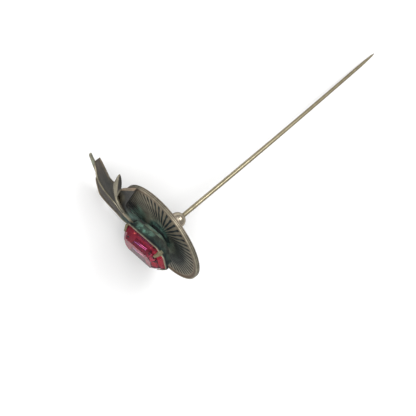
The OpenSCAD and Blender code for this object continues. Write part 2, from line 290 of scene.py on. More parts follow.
def rounded_profile(corners, radius, steps=4):
    """A profile's corners given as (r, z) or (r, z, own radius), each rounded by a short arc."""
    count = len(corners)
    result = []
    for i, corner in enumerate(corners):
        here = np.array(corner[:2], float)
        round_by = corner[2] if len(corner) > 2 else radius
        if i in (0, count - 1) or round_by <= 0:
            result.append(here)
            continue
        before = np.array(corners[i - 1][:2], float) - here
        after = np.array(corners[i + 1][:2], float) - here
        reach = min(round_by, 0.45 * np.linalg.norm(before), 0.45 * np.linalg.norm(after))
        start = here + before / np.linalg.norm(before) * reach
        end = here + after / np.linalg.norm(after) * reach
        result += rounded_corner(start, here, end, steps)
    return np.array(result)


def filled_profile(profile, pitch):
    """A profile with points added so that none are further apart than the pitch."""
    result = [profile[0]]
    for a, b in zip(profile[:-1], profile[1:]):
        parts = max(1, int(math.ceil(np.linalg.norm(b - a) / pitch)))
        result += [a + (b - a) * k / parts for k in range(1, parts + 1)]
    return np.array(result)


def lathe(profile, around):
    """Points and faces of a profile of (radius, height) turned about Z."""
    angles = np.arange(around) * 2 * math.pi / around
    rings = [columns(r * np.cos(angles), r * np.sin(angles), z) for r, z in profile]
    return np.concatenate(rings), loft_faces(len(profile), around)


def turned_grain(points):
    """Grain that runs round the axis: fine across the radius and height, slow along the turn."""
    radius = np.hypot(points[:, 0], points[:, 1])
    angle = np.arctan2(points[:, 1], points[:, 0])
    return columns(np.cos(angle) * 2 + 5, radius + points[:, 2], np.sin(angle) * 2)


def ramp(low, high, value):
    """0 below low, 1 above high, and a smooth rise between them."""
    s = np.clip((np.asarray(value, float) - low) / (high - low), 0, 1)
    return s * s * (3 - 2 * s)


# Shader nodes


def add_node(tree, kind, inputs=None, **settings):
    """A node with its settings. Its inputs are numbers, colours or links from other nodes."""
    made = tree.nodes.new(kind)
    for name, value in settings.items():
        setattr(made, name, value)
    feed(tree, made, inputs or {})
    return made


def feed(tree, node, inputs):
    """Sets or links each named input of a node."""
    for socket, item in inputs.items():
        if isinstance(item, bpy.types.NodeSocket):
            tree.links.new(item, node.inputs[socket])
        else:
            node.inputs[socket].default_value = item


def math_node(tree, operation, first, second, clamp=False):
    """Output of a Math node on two links or numbers."""
    inputs = {0: first, 1: second}
    return add_node(tree, "ShaderNodeMath", inputs, operation=operation, use_clamp=clamp).outputs[0]


def mix_colour(tree, factor, first, second):
    """Output of a colour Mix node."""
    inputs = {0: factor, 6: first, 7: second}
    return add_node(tree, "ShaderNodeMix", inputs, data_type="RGBA").outputs[2]


def mapped(tree, value, from_low, from_high, to_low=0.0, to_high=1.0):
    """Output of a clamped Map Range node."""
    inputs = {"Value": value, "From Min": from_low, "From Max": from_high,
              "To Min": to_low, "To Max": to_high}
    return add_node(tree, "ShaderNodeMapRange", inputs, interpolation_type="SMOOTHSTEP").outputs["Result"]


def new_group(name, inputs, outputs):
    """An empty node group with named sockets: returns the group, its input and output nodes."""
    group = bpy.data.node_groups.new(name, "ShaderNodeTree")
    for title, kind, value in inputs:
        made = group.interface.new_socket(title, in_out="INPUT", socket_type=kind)
        made.default_value = value
    for title, kind in outputs:
        group.interface.new_socket(title, in_out="OUTPUT", socket_type=kind)
    return group, group.nodes.new("NodeGroupInput"), group.nodes.new("NodeGroupOutput")


FLOAT = "NodeSocketFloat"
COLOUR = "NodeSocketColor"


def mottling_group():
    """Cloudy tarnish in two sizes. Clouds is a mask from 0 to 1, and Specks a sparse one."""
    group, given, out = new_group(
        "Mottled tarnish", [("Scale", FLOAT, 900.0), ("Contrast", FLOAT, 0.2)],
        [("Clouds", FLOAT), ("Specks", FLOAT)],
    )
    place = add_node(group, "ShaderNodeTexCoord").outputs["Object"]
    scale, contrast = given.outputs["Scale"], given.outputs["Contrast"]
    broad = add_node(group, "ShaderNodeTexNoise",
                     {"Vector": place, "Scale": scale, "Detail": 5.0, "Roughness": 0.62})
    clouds = mapped(group, broad.outputs["Fac"], math_node(group, "SUBTRACT", 0.5, contrast),
                    math_node(group, "ADD", 0.5, contrast))
    # The specks are about a fifth of the clouds' size
    fine_scale = math_node(group, "MULTIPLY", scale, 5.3)
    fine = add_node(group, "ShaderNodeTexNoise",
                    {"Vector": place, "Scale": fine_scale, "Detail": 3.0, "Roughness": 0.55})
    specks = mapped(group, fine.outputs["Fac"], 0.58, 0.72)
    feed(group, out, {"Clouds": clouds, "Specks": specks})
    return group


def brushing_group():
    """Fine lines along a piece's own grain, which its mesh holds in mm."""
    group, given, out = new_group(
        "Fine brushing", [("Along", FLOAT, 0.5), ("Across", FLOAT, 12.0)], [("Lines", FLOAT)]
    )
    along, across = given.outputs["Along"], given.outputs["Across"]
    grain = add_node(group, "ShaderNodeAttribute", attribute_name="grain").outputs["Vector"]
    stretch = add_node(group, "ShaderNodeCombineXYZ", {"X": along, "Y": across, "Z": along})
    spread = add_node(group, "ShaderNodeVectorMath", {0: grain, 1: stretch.outputs[0]},
                      operation="MULTIPLY")
    lines = add_node(group, "ShaderNodeTexNoise",
                     {"Vector": spread.outputs[0], "Scale": 1.0, "Detail": 4.0, "Roughness": 0.6})
    feed(group, out, {"Lines": lines.outputs["Fac"]})
    return group


def patina_group():
    """Colour and roughness of antiqued metal from its masks: warm tarnish, dark hollows and painted
    shade, green salts, and edges rubbed bright with painted light."""
    group, given, out = new_group(
        "Antique patina",
        [("Metal", COLOUR, (0.1, 0.1, 0.1, 1)), ("Hollow", COLOUR, (0.02, 0.02, 0.02, 1)),
         ("Warm", COLOUR, (0.2, 0.1, 0.1, 1)), ("Worn", COLOUR, (0.5, 0.5, 0.4, 1)),
         ("Green", COLOUR, (0.1, 0.2, 0.1, 1)), ("Clouds", FLOAT, 0.5), ("Specks", FLOAT, 0.0),
         ("Lines", FLOAT, 0.5), ("Roughness", FLOAT, 0.4), ("Metal share", FLOAT, 0.6)],
        [("Color", COLOUR), ("Roughness", FLOAT), ("Bare", FLOAT), ("Height", FLOAT)],
    )

    def times(first, second, clamp=False):
        return math_node(group, "MULTIPLY", first, second, clamp)

    def plus(first, second, clamp=False):
        return math_node(group, "ADD", first, second, clamp)

    def less(first, second, clamp=False):
        return math_node(group, "SUBTRACT", first, second, clamp)

    get = given.outputs
    metal, hollow, clouds, specks = (get[name] for name in ("Metal", "Hollow", "Clouds", "Specks"))
    wear_and_light, crevice_and_shade, warm, green = (
        add_node(group, "ShaderNodeAttribute", attribute_name=name).outputs["Fac"]
        for name in ("wear_and_light", "crevice_and_shade", "warm", "green")
    )
    # Clouds darken the metal, and brushed lines bare a little of it
    lines = mapped(group, get["Lines"], 0.3, 0.7)
    tone = mix_colour(group, clouds, mix_colour(group, 0.45, metal, hollow), metal)
    tone = mix_colour(group, times(lines, 0.16), tone, get["Worn"])
    warm = times(warm, mapped(group, clouds, 0.0, 0.8, 0.55, 1.0))
    tone = mix_colour(group, warm, tone, get["Warm"])
    # Hollows and painted shade take the hollow colour
    tone = mix_colour(group, crevice_and_shade, tone, hollow)
    # Green salts break up with the clouds and the specks
    broken = plus(clouds, times(specks, 0.4))
    green = times(green, mapped(group, broken, 0.15, 0.95, 0.2, 1.0), clamp=True)
    tone = mix_colour(group, green, tone, get["Green"])
    # Worn edges and painted light take the worn colour
    rubbed = times(wear_and_light, mapped(group, clouds, 0.0, 0.9, 0.6, 1.0), clamp=True)
    tone = mix_colour(group, rubbed, tone, get["Worn"])
    # Specks are small dark pits
    tone = mix_colour(group, times(specks, 0.5), tone, mix_colour(group, 0.5, tone, hollow))
    # Salts, hollows and painted shade are rougher, and rubbed metal, painted light and clouds are smoother
    rough = less(plus(get["Roughness"], times(green, 0.35)), times(rubbed, 0.12))
    rough = plus(plus(rough, times(crevice_and_shade, 0.3)), times(clouds, -0.08), clamp=True)
    # Tarnish hides part of the metal, rubbing and painted light bare it, and salts, hollows and painted
    # shade cover it
    share = plus(get["Metal share"], times(rubbed, 0.5), clamp=True)
    seen = less(1.0, plus(times(green, 0.85), times(crevice_and_shade, 0.7)), clamp=True)
    height = less(plus(times(lines, 0.35), times(clouds, 0.5)), times(specks, 0.5))
    feed(group, out, {"Color": tone, "Roughness": rough, "Bare": times(share, seen), "Height": height})
    return group


GROUPS = {}


def group_node(tree, maker, inputs):
    """A node with the group that a maker builds. Each group is built once."""
    if maker.__name__ not in GROUPS:
        GROUPS[maker.__name__] = maker()
    return add_node(tree, "ShaderNodeGroup", inputs, node_tree=GROUPS[maker.__name__])


def shaded(name):
    """A new material: returns it, its tree and its Principled shader."""
    material = bpy.data.materials.new(name)
    material.use_nodes = True
    tree = material.node_tree
    return material, tree, tree.nodes["Principled BSDF"]


def opaque(value):
    """A colour as four numbers."""
    return (value[0], value[1], value[2], 1.0)


# Columns of a finish: roughness, scale and contrast of the clouds, how fine the brushing is along
# and across the grain, depth of the dents in metres, share of bare metal, tint of its gloss
FINISHES = {
    "Pale wire": (0.3, 700.0, 0.22, 1.2, 9.0, 0.000012, 0.95, 0.15),
    "Rosy collar": (0.28, 650.0, 0.2, 0.6, 7.0, 0.000012, 0.9, 0.3),
    "Disc patina": (0.42, 520.0, 0.2, 1.0, 14.0, 0.00002, 0.5, 0.3),
    "Spray patina": (0.42, 480.0, 0.2, 0.35, 11.0, 0.00002, 0.5, 0.45),
    "Spray rubbed and lit": (0.38, 480.0, 0.22, 0.35, 11.0, 0.00002, 0.5, 0.45),
    "Spray grey": (0.45, 480.0, 0.2, 0.35, 11.0, 0.00002, 0.5, 0.45),
    "Setting patina": (0.42, 600.0, 0.16, 0.6, 10.0, 0.00002, 0.5, 0.45),
    "Claw patina": (0.45, 1500.0, 0.14, 0.8, 8.0, 0.00003, 0.3, 0.45),
}


def patina_metal(name, metal, hollow, warm=None, worn=None):
    """Antiqued metal with clouds, brushing, hollows and painted shade, verdigris, and worn edges and
    painted light.
    """
    c = colours()
    roughness, scale, contrast, along, across, dent, share, tint = FINISHES[name]
    material, tree, shader = shaded(name)
    clouds = group_node(tree, mottling_group, {"Scale": scale, "Contrast": contrast})
    brush = group_node(tree, brushing_group, {"Along": along, "Across": across})
    patina = group_node(tree, patina_group, {
        "Metal": opaque(metal), "Hollow": opaque(hollow), "Warm": opaque(warm or c.brown),
        "Worn": opaque(worn or c.worn), "Green": opaque(c.verdigris),
        "Clouds": clouds.outputs["Clouds"], "Specks": clouds.outputs["Specks"],
        "Lines": brush.outputs["Lines"], "Roughness": roughness, "Metal share": share,
    })
    dents = add_node(tree, "ShaderNodeBump",
                     {"Strength": 0.6, "Distance": dent, "Height": patina.outputs["Height"]})
    feed(tree, shader, {
        "Base Color": patina.outputs["Color"], "Roughness": patina.outputs["Roughness"],
        "Metallic": patina.outputs["Bare"], "Normal": dents.outputs["Normal"],
        "Specular Tint": (tint, tint, tint, 1), "Specular IOR Level": 0.2,
    })
    return material


# Wire and collar


class PIN_OT_wire(bpy.types.Operator):
    """Build the wire with its taper and ground point, and the rivet head in the cup"""

    bl_idname = "stick_pin.wire"
    bl_label = "Wire"

    def execute(self, context):
        s, c = sizes(), colours()
        metal = patina_metal("Pale wire", c.wire, c.wire_shade)
        full, end = mm(s.wire_diameter) / 2, mm(s.wire_end) / 2
        far = -mm(s.wire_length)
        start = -mm(s.ball_diameter) / 2 + 0.2
        taper = far + mm(s.point_length)
        corners = [(full, start), (full, -mm(s.shank_length), 6.0), (end, taper, 3.0),
                   (0.24, far + 1.0, 0.8), (0.09, far + 0.08, 0.06), (0.02, far)]
        profile = filled_profile(rounded_profile(corners, 1.0, 8), 0.5)
        points, faces = lathe(profile, 40)
        depth = points[:, 2]
        # A small nick in the shank, a smear of tarnish by the ball, and a duller far end
        nick = ramp(0.22, 0.0, np.abs(depth + 5.9)) * ramp(-0.2, 0.3, -points[:, 1])
        smear = ramp(-3.2, -1.4, depth)
        masks = {"grain": columns(depth * 0.4, np.arctan2(points[:, 1], points[:, 0]) * 0.6 + 9, 0),
                 "crevice_and_shade": np.clip(0.75 * nick + 0.45 * smear + 0.55 * ramp(-15, -60, depth), 0, 1),
                 "wear_and_light": 0.15 * ramp(taper, far, depth)}
        # The wire is a little bowed towards the side away from the spray
        points[:, 0] -= WIRE_BOW * np.sin(math.pi * np.clip(depth / far, 0, 1))
        make_piece("pin_wire", at_ball(points), faces, [metal], ["pin_stem"], masks, sharp=40)

        top = CUP_Z + CUP_FLOOR + 0.02
        head = rounded_profile([(0.02, top - 0.01), (1.3, top, 0.04), (1.3, top + 0.15, 0.1),
                                (1.0, top + 0.28, 0.2), (0.02, top + 0.3)], 0.05)
        points, faces = lathe(head, 40)
        make_piece("rivet_head", points, faces, [metal], ["pin_stem"],
                   {"grain": turned_grain(points)}, sharp=40)
        return {"FINISHED"}


class PIN_OT_collar(bpy.types.Operator):
    """Build the turned collar with its foot, waist and ball"""

    bl_idname = "stick_pin.collar"
    bl_label = "Collar"

    def execute(self, context):
        s, c = sizes(), colours()
        metal = patina_metal("Rosy collar", c.ball, c.ball_shade)
        ball_r, back = mm(s.ball_diameter) / 2, mm(s.ball_back)
        foot = BACK_Z - 0.02
        neck = math.asin(NECK_R / ball_r)
        upper = rounded_profile([(0.6, foot), (3.2, foot, 0.15), (3.2, foot - 0.5, 0.12),
                                 (2.3, foot - 0.75, 0.3), (1.5, foot - 1.6, 0.6),
                                 (NECK_R, foot - 2.6, 0.5)], 0.1, 6)
        ball = [(ball_r * math.sin(a), -back + ball_r * math.cos(a))
                for a in np.linspace(neck, math.pi - 0.03, 40)]
        profile = filled_profile(np.concatenate([upper, np.array(ball)]), 0.25)[::-1]
        points, faces = lathe(profile, 72)
        height = points[:, 2]
        seat = ramp(0.4, 0.0, np.abs(height + back - ball_r * math.cos(neck)))
        lower = ramp(-back - 1.2, -back - 1.6, height)
        masks = {"grain": turned_grain(points), "crevice_and_shade": np.clip(0.7 * seat + 0.4 * lower, 0, 1),
                 "wear_and_light": 0.35 * ramp(-back + 0.6, -back - 0.4, height) * (1 - lower),
                 "green": 0.6 * ramp(-back + 2.4, foot, height)}
        make_piece("ball_collar", points, faces, [metal], ["ball_collar"], masks, sharp=40)
        return {"FINISHED"}


# Disc

# Points round the disc for each flute, and the spacing of its rings in mm: on the face, over
# the margin and the lip, and on the back
PER_FLUTE = 16
FACE_PITCH = 0.28
LIP_PITCH = 0.12
BACK_PITCH = 2.0

# How many rings beyond the front lie on the rim
RIM_RINGS = 12

# The two lines round the rim: their heights, half width and depth, in mm
RIM_LINES = (-0.36, -0.74)
RIM_LINE_HALF = 0.12
RIM_LINE_DEPTH = 0.09

# How far a flute opens to either side for each mm of its depth, and how far its valley rounds
# over into the land, in mm
FLUTE_SPREAD = 1.8
FLUTE_SHOULDER = 0.03


def disc_section():
    """The disc's section as (radius, height), from the hole over the face, round the rim and
    along the back, and how many of its points are in front of the rim."""
    s = sizes()
    r, rim = mm(s.disc_radius), mm(s.rim_height)
    hub_r, hub_h = mm(s.hub_radius), mm(s.hub_height)
    start = r - mm(s.margin_width)
    face = [(HOLE_R, hub_h), (hub_r - 0.25, hub_h, 0.2), (hub_r, hub_h - 0.25, 0.2),
            (hub_r + 0.15, FACE_HUB_Z, 0.3), (start, FACE_EDGE_Z, 0.1),
            (r - 0.7, FACE_EDGE_Z - 0.02, 0.15), (r - 0.45, 0, 0.1), (r - 0.12, 0, 0.08),
            (r, -0.12, 0.08)]
    lines = []
    for z in RIM_LINES:
        lines += [(r, z + RIM_LINE_HALF, 0.05), (r - RIM_LINE_DEPTH, z, 0.03), (r, z - RIM_LINE_HALF, 0.05)]
    back = [(r, -rim + 0.12, 0.08), (r - 0.12, -rim, 0.08), (r - 0.9, -rim, 0.1),
            (r - 1.15, BACK_Z, 0.15), (3.0, BACK_Z, 0), (HOLE_R, BACK_Z)]
    front = rounded_profile(face, 0.1, 3)
    fluted = front[:, 0] < start + 0.05
    front = np.concatenate([filled_profile(front[fluted], FACE_PITCH),
                            filled_profile(front[~fluted], LIP_PITCH)])
    rest = rounded_profile([tuple(front[-1])] + lines + back, 0.1, 2)[1:]
    return np.concatenate([front, filled_profile(rest, BACK_PITCH)]), len(front)


def cut_flutes(points, is_face, radius, angle):
    """Lowers the face's points into the flutes. Gives how far down its flute each point lies,
    and how far it is from the flute's middle to the middle of the land, both from 0 to 1."""
    s = sizes()
    hub_r, start = mm(s.hub_radius), mm(s.disc_radius) - mm(s.margin_width)
    pitch = 2 * math.pi / s.flute_count
    aside = np.abs((angle % pitch) - pitch / 2) * radius
    slope = (mm(s.flute_depth) - (FACE_HUB_Z - FACE_EDGE_Z)) / (start - hub_r)
    floor_z = FACE_EDGE_Z - slope * (start - radius)
    valley = floor_z + aside / FLUTE_SPREAD
    surface = points[:, 2].copy()
    # The valley meets the land in a small rounded shoulder
    low = 0.5 * (surface + valley - np.sqrt((surface - valley) ** 2 + FLUTE_SHOULDER ** 2))
    blend = ramp(hub_r + 0.2, hub_r + 0.7, radius)
    cut = np.where(is_face, np.minimum(surface, surface + (low - surface) * blend), surface)
    points[:, 2] = cut
    down = (surface - cut) / np.maximum(surface - floor_z, 0.02)
    return down, aside / (pitch / 2 * np.maximum(radius, 1))


def disc_masks(points, radius, angle, is_face, in_line, behind, down, across_land):
    """The disc's masks. The face is dark in its flutes, with painted shadow under the spray and painted
    shade round the hub and away from its bright side, and painted light that lifts the shade close by the
    hub and the spray. It is green by the hub, and brown and bright on one side as a painted highlight."""
    s = sizes()
    r = mm(s.disc_radius)
    start = r - mm(s.margin_width)
    x, y = points[:, 0], points[:, 1]
    outer = ramp(4.0, 6.5, radius)
    # Painted shade in a ring round the hub
    by_hub = ramp(4.8, 3.3, radius) * (1 - behind)
    at_edge = ramp(r - 0.5, r - 0.25, radius)
    by_spray = ramp(0.76, 0.92, x / np.maximum(radius, 1))
    beneath = ramp(-1.5, 2.0, y) * ramp(3.0, 6.0, x) * ramp(9.8, 7.8, x)
    # Painted shadow on the face under the spray
    spray_shadow = ramp(0.8, 4.5, y) * ramp(7, 9, x) * (radius < start)
    # A painted highlight: the face towards -Y is brown and bright where the light falls on it
    towards = (0.35 * x - 0.94 * y) / np.maximum(radius, 1)
    rubbed = ramp(0.45, 0.95, towards) * ramp(4.0, 7.0, radius) * (1 - by_spray)
    # The dark of a flute runs on a little past its cut, up to the margin
    out_there = ramp(8.5, 11.5, radius)
    stripe = ramp(0.62, 0.38, across_land)
    in_flute = ramp(0.0, 0.25, down) * ramp(0.72, 0.5, across_land)
    groove = np.maximum(in_flute, stripe * out_there) * is_face * (1 - 0.6 * by_spray)
    groove *= ramp(start + 0.02, start - 0.5, radius)
    ridge = ramp(0.75, 1.0, across_land) * is_face

    # Painted shade over the rest of the face, away from the bright side and the spray
    plain = 0.72 * (1 - rubbed) * outer * (1 - out_there) * (1 - by_spray) * is_face
    crevice_and_shade = (np.maximum(groove * (0.75 + 0.25 * rubbed), plain) + 0.95 * in_line
               + 0.9 * spray_shadow + 0.85 * by_hub)
    edge_wear = 0.5 * at_edge * (1 - 0.8 * in_line) * (1 - 0.6 * by_spray)
    # Worn ridges, a brighter outer face, the painted highlight, and painted light that lifts the shade
    # close by the hub and by the spray
    face_wear_and_light = (0.1 * ridge + 0.46 * rubbed + 0.65 * (1 - outer) * (1 - by_hub)
                 + 0.08 * by_spray * outer + 0.24 * out_there * (1 - rubbed))
    face_wear_and_light = face_wear_and_light * is_face * (1 - groove) * (1 - 0.7 * spray_shadow)
    by_margin = ramp(start - 2.2, start + 0.1, radius) * (1 - at_edge)
    salts = np.maximum(0.3 * ramp(6.5, 4.0, radius), 0.5 * beneath)
    return {
        "grain": columns(np.cos(angle) * 3 * radius, radius, np.sin(angle) * 3 * radius),
        "crevice_and_shade": np.clip(crevice_and_shade, 0, 1),
        "wear_and_light": np.clip(edge_wear + face_wear_and_light, 0, 1) * np.where(behind, 0.5, 1),
        "warm": np.clip((0.7 * by_margin + 0.6 * rubbed) * (1 - 0.8 * groove), 0, 1),
        "green": (np.clip(0.04 * (radius < start) + is_face * salts, 0, 1)
                  + 0.3 * behind * (radius < 3.6)),
    }


class PIN_OT_disc(bpy.types.Operator):
    """Build the fluted disc with its hub, plain margin and lined rim"""

    bl_idname = "stick_pin.disc"
    bl_label = "Disc"

    def execute(self, context):
        s, c = sizes(), colours()
        metal = patina_metal("Disc patina", c.lands, c.grooves, worn=c.disc_worn_and_lit)
        profile, in_front = disc_section()
        around = s.flute_count * PER_FLUTE
        points, faces = lathe(profile, around)
        # The last ring meets the first inside the hole
        last = (len(profile) - 1) * around
        nexts = [(j + 1) % around for j in range(around)]
        faces = faces[:-2] + [(last + j, last + k, k, j) for j, k in enumerate(nexts)]
        radius = np.hypot(points[:, 0], points[:, 1])
        angle = np.arctan2(points[:, 1], points[:, 0])
        r, hub_r = mm(s.disc_radius), mm(s.hub_radius)
        ring = np.repeat(np.arange(len(profile)), around)
        is_face = (ring < in_front) & (radius > hub_r + 0.2) & (radius < r - mm(s.margin_width))
        # The bottoms of the rim's lines
        ring_r, ring_z = profile.T
        in_line = (ring_r < r - 0.03) & (ring_r > r - 0.1) & (ring_z < -0.2) & (ring_z > -0.9)
        down, across_land = cut_flutes(points, is_face, radius, angle)
        masks = disc_masks(points, radius, angle, is_face, np.repeat(in_line, around),
                           ring >= in_front + RIM_RINGS, down, across_land)
        make_piece("fluted_disc", points, faces, [metal], ["fluted_disc"], masks, sharp=30)
        return {"FINISHED"}


# Spray

# Columns of a leaf's table: the edge towards -Y, the edge towards +Y, and how far the
# middle stands over the line between them
LEAVES = {
    "main_leaf": [
        ((2.8, 0.6, 2.15), (3.6, 3.8, 2.2), 0), ((7.9, 2.7, 3.35), (8.4, 3.1, 3.30), 0.05),
        ((10.0, 1.8, 3.70), (10.6, 2.2, 3.75), 0.05), ((11.9, 0.6, 3.80), (12.8, 1.3, 3.90), 0.1),
        ((13.6, -0.7, 3.70), (14.9, 1.7, 3.90), 0.15), ((15.0, -2.3, 3.35), (16.7, 2.4, 3.80), 0.2),
        ((16.1, -3.7, 2.95), (18.7, 3.1, 3.40), 0.25), ((17.9, -2.3, 2.60), (20.4, 3.2, 3.00), 0.3),
        ((19.9, -2.6, 2.30), (21.9, 1.9, 2.60), 0.25), ((22.3, -3.4, 2.10), (23.3, 0.4, 2.20), 0.15),
        ((23.3, -3.5, 2.00), (23.5, -1.2, 2.10), 0.05),
    ],
    "tip_leaf": [
        ((19.2, 2.6, 2.5), (19.5, 5, 2.55), 0), ((20.6, 3.2, 2.1), (20.8, 5.7, 2.2), 0),
        ((21.9, 3.1, 1.8), (22, 4.8, 2.05), 0), ((23.4, 2.1, 1.75), (23.6, 3.2, 2.1), 0),
        ((24.6, 1.4, 1.7), (24.9, 1.9, 2.1), 0), ((25.4, 0.8, 1.7), (25.8, 1.1, 2.05), 0),
        ((25.8, 0.4, 1.75), (26, 0.4, 1.9), 0),
    ],
    "outer_leaf": [
        ((2.4, 2.2, 2), (3.2, 5, 2.1), 0), ((7.6, 2.2, 2.85), (7.9, 7.5, 2.9), 0.15),
        ((10.2, 1.2, 3.25), (10.7, 8.1, 3), 0.15), ((12.6, 0.4, 3.35), (13.7, 9.2, 3.05), 0.2),
        ((15.1, 0.4, 3.25), (16.4, 9.9, 3), 0.2), ((17, 0.8, 3.2), (17.6, 9.5, 2.95), 0.2),
        ((18.8, 1.2, 2.95), (19, 7.9, 2.85), 0.15), ((20.1, 1.6, 2.6), (20.2, 6.4, 2.7), 0.1),
        ((20.7, 2.4, 2.5), (20.7, 5.1, 2.65), 0),
    ],
    "side_leaf": [
        ((2.4, -2, 2.05), (4.4, 2.4, 2.2), 0), ((5.4, -1.1, 2.6), (6.9, 2.5, 2.9), 0.1),
        ((8.1, 0.6, 2.85), (9.4, 2.5, 3.2), 0.05), ((10, 0.2, 2.85), (12, 1.4, 3.2), -0.1),
        ((10.6, -1.5, 2.65), (13.8, 0.9, 2.9), -0.25), ((10.9, -3.5, 2.3), (14.5, -0.7, 2.5), -0.3),
        ((11.1, -5.2, 1.95), (13.95, -3.7, 2.15), -0.25), ((11.3, -6.4, 1.55), (13.1, -5.6, 1.65), -0.15),
        ((11.4, -7, 1.2), (12.4, -7.1, 1.25), -0.05), ((11.8, -7.5, 1), (12.05, -7.4, 1.05), 0),
    ],
    "spur_leaf": [
        ((4.2, 0.8, 2.15), (4.6, 2.4, 2.2), 0), ((7.9, 1.4, 3.4), (8.3, 2.2, 3.3), 0),
        ((9.9, 1, 3.75), (10.4, 1.8, 3.65), 0.05), ((11.7, -0.2, 3.8), (12.2, 1, 3.8), 0.1),
        ((13.1, -1.4, 3.6), (13.6, -0.5, 3.7), 0.1), ((13.82, -4.6, 3.1), (15.1, -2.1, 3.4), 0.1),
        ((14.52, -4.95, 2.4), (16.2, -3.7, 3), 0.1), ((15.4, -5.8, 1.95), (16.6, -5.1, 2.5), 0.1),
        ((16.2, -6.7, 1.75), (16.9, -6.3, 2), 0.05), ((16.7, -7, 1.7), (17, -6.9, 1.75), 0),
    ],
}

# Height over all leaves, up to which the cup's place is cut out of them, in mm
CUTTER_TOP = 8.0

# How high the bead along each leaf's far edge stands, in mm
BEADS = {"main_leaf": 0.3, "tip_leaf": 0.08, "outer_leaf": 0.22, "side_leaf": 0.45, "spur_leaf": 0.0}


def smoothed_rows(table, steps):
    """A leaf's table as rows of seven numbers, with each gap filled by smooth steps."""
    rows = np.array([list(near) + list(far) + [rise] for near, far, rise in table])
    last = len(rows) - 1
    result = []
    for i in range(last):
        a, b = rows[max(i - 1, 0)], rows[i]
        c, d = rows[i + 1], rows[min(i + 2, last)]
        for k in range(steps):
            t = k / steps
            result.append(0.5 * (2 * b + (c - a) * t + (2 * a - 5 * b + 4 * c - d) * t * t
                                 + (3 * b - a - 3 * c + d) * t ** 3))
    result.append(rows[last])
    return np.array(result)


# How many steps fill each gap in a leaf's table, and how many points lie across the sheet
LEAF_STEPS = 10
LEAF_ACROSS = 20

# Distances of the extra points from a sheet's far edge, where its bead stands
BY_EDGE = (0.75, 0.55, 0.42, 0.32, 0.24, 0.16, 0.08)


def sheet_section(width, thickness, across):
    """Closed outline of a sheet's cut, as (distance from the near edge, depth under the
    face), with rounded corners that shrink with a narrow tip. It always has as many points."""
    corner = min(0.16, 0.42 * width, 0.42 * thickness)
    right = width - corner
    wide = right - corner
    crowd = [min(v / max(wide, 0.1), 0.9 - 0.1 * i) for i, v in enumerate(BY_EDGE)]
    face = [*np.linspace(0, 1 - crowd[0], across - len(BY_EDGE) + 1)[1:], *(1 - v for v in crowd[1:])]
    back = [j / across for j in range(1, across)]
    # The middle of each corner's arc and the angle it begins at, with the side that follows it
    arcs = ((corner, corner, 180, [(corner + wide * v, 0) for v in face]), (right, corner, 90, []),
            (right, thickness - corner, 0, [(right - wide * v, thickness) for v in back]),
            (corner, thickness - corner, -90, []))
    outline = []
    for x, y, first, side in arcs:
        for turn in np.linspace(0, 90, 6):
            a = math.radians(first - turn)
            outline.append((x + corner * math.cos(a), y - corner * math.sin(a)))
        outline += side
    return np.array(outline)


def leaf_mesh(table, thickness, bead):
    """Points, faces and masks of one leaf of sheet metal with rounded edges. A rubbed bead
    stands along its far edge."""
    rows = smoothed_rows(table, LEAF_STEPS)
    points, grain, near_wear, far_wear, place = [], [], [], [], []
    run = 0.0
    for i, row in enumerate(rows):
        near, far, rise = row[:3], row[3:6], row[6]
        if i:
            middle = (near + far) / 2
            before = (rows[i - 1][:3] + rows[i - 1][3:6]) / 2
            run += np.linalg.norm(middle - before)
        width = max(np.linalg.norm(far - near), 0.05)
        outline = sheet_section(width, thickness, LEAF_ACROSS)
        share = outline[:, 0] / width
        ring = near + (far - near) * share[:, None]
        to_far = width - outline[:, 0]
        raised = bead * min(1, width / 1.5) * np.exp(-((to_far - 0.24) / 0.2) ** 2)
        ring[:, 2] += rise * 4 * share * (1 - share) - outline[:, 1] + raised * (outline[:, 1] < 0.2)
        points.append(ring)
        grain.append(columns(run, outline[:, 0] + outline[:, 1] * 2, 0))
        near_wear.append(ramp(0.24, 0.05, outline[:, 0]))
        far_wear.append(ramp(0.62, 0.42, to_far))
        place.append(share)
    # The tip closes in a small rounded end
    last = points[-1]
    middle = last.mean(axis=0)
    ahead = middle - points[-2].mean(axis=0)
    ahead /= np.linalg.norm(ahead)
    for shrink, forward in ((0.75, 0.03), (0.35, 0.05)):
        points.append(middle + (last - middle) * shrink + ahead * forward)
        for values in (grain, near_wear, far_wear, place):
            values.append(values[-1])
    faces = loft_faces(len(points), len(last))
    masks = {"grain": grain, "near": near_wear, "far": far_wear, "share": place}
    return np.concatenate(points), faces, {name: np.concatenate(v) for name, v in masks.items()}


def octagon(a, b, k):
    """The eight corners of a rectangle of half sizes a and b, whose corners are cut by k."""
    return [(a - k, -b), (a, -b + k), (a, b - k), (a - k, b),
            (-a + k, b), (-a, b - k), (-a, -b + k), (-a + k, -b)]


def octagon_ring(long_side, width, corner, soft=0.25, per_side=10, per_corner=3):
    """Outline of a rectangle with cut corners, each of its eight corners slightly rounded."""
    corners = np.array(octagon(long_side / 2, width / 2, corner))
    sides = np.roll(corners, -1, axis=0) - corners
    lengths = np.linalg.norm(sides, axis=1)[:, None]
    reach = np.minimum(soft, 0.3 * np.minimum(lengths, np.roll(lengths, 1)))
    ways = sides / lengths
    starts, ends = corners - np.roll(ways, 1, axis=0) * reach, corners + ways * reach
    result = []
    for i, end in enumerate(ends):
        result += rounded_corner(starts[i], corners[i], end, per_corner)
        far = starts[(i + 1) % len(corners)]
        result += [end + (far - end) * j / per_side for j in range(1, per_side)]
    return np.array(result)


def octagon_loft(levels):
    """Points and faces through octagon rings, each given as (length, width, corner, height),
    and how many points a ring has."""
    rings = [columns(*octagon_ring(*level[:3]).T, level[3]) for level in levels]
    return np.concatenate(rings), loft_faces(len(rings), len(rings[0])), len(rings[0])


def prism(outline, low, high):
    """Points and faces of an upright prism."""
    points = np.concatenate([columns(*outline.T, z) for z in (low, high)])
    return points, loft_faces(2, len(outline))


